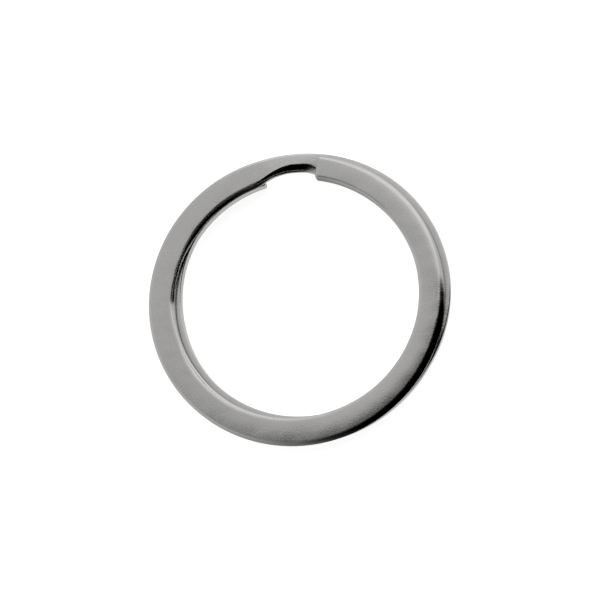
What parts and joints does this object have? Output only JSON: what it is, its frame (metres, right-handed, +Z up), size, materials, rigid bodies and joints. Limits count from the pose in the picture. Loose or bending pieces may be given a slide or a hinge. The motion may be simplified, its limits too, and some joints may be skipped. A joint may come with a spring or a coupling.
{
  "type": "key ring",
  "caption": "Flat split key ring of plated spring steel: a flat strip coiled edgewise on itself, with a pinched crossing where it passes from turn to turn.",
  "frame": {"origin": "middle of the ring's outline, on the surface that the ring lies on", "axes": "+Z up, square to the ring's faces; +Y through the middle of the crossing; +X to the right of it seen from above"},
  "size_m": [0.0306, 0.0302, 0.0025],
  "materials": {
    "nickel_plate": "tumbled satin nickel plate on spring steel"
  },
  "bodies": {
    "root": {"split_ring": "nickel_plate"}
  },
  "joints": []
}
